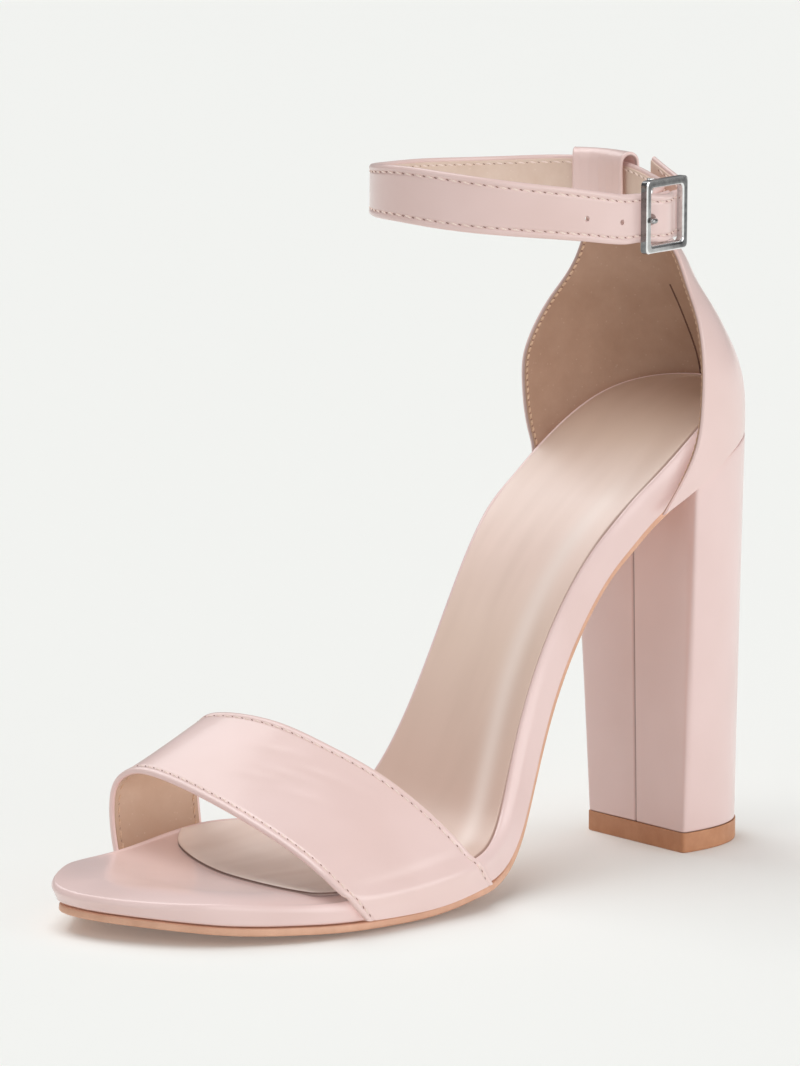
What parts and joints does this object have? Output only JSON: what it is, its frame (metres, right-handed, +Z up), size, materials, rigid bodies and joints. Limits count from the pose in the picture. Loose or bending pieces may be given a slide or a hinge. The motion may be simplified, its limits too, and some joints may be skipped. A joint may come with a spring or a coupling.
{
  "type": "ankle strap block heel sandal",
  "caption": "Open-toe sandal on a tall block heel, with a broad forefoot strap, a closed heel counter and a buckled ankle strap.",
  "frame": {"origin": "centre of the box that holds the shoe, on the floor", "axes": "+X towards the toe, +Y to the wearer's left, which is the outer side with the buckle, +Z up"},
  "size_m": [0.207, 0.0803, 0.1759],
  "materials": {
    "upper": "smooth blush-pink leather, semi-gloss",
    "covering": "smooth blush-pink covering, semi-gloss",
    "sock": "satin beige sock",
    "sole": "tan-brown moulded sole",
    "buckle": "polished silver-coloured metal"
  },
  "bodies": {
    "root": {"ankle_strap": "upper", "buckle_frame": "buckle", "buckle_prong": "buckle", "counter": "upper", "heel": "covering", "heel_tip": "sole", "insole": "sock", "outsole": "sole", "platform": "covering", "vamp_strap": "upper"}
  },
  "joints": []
}
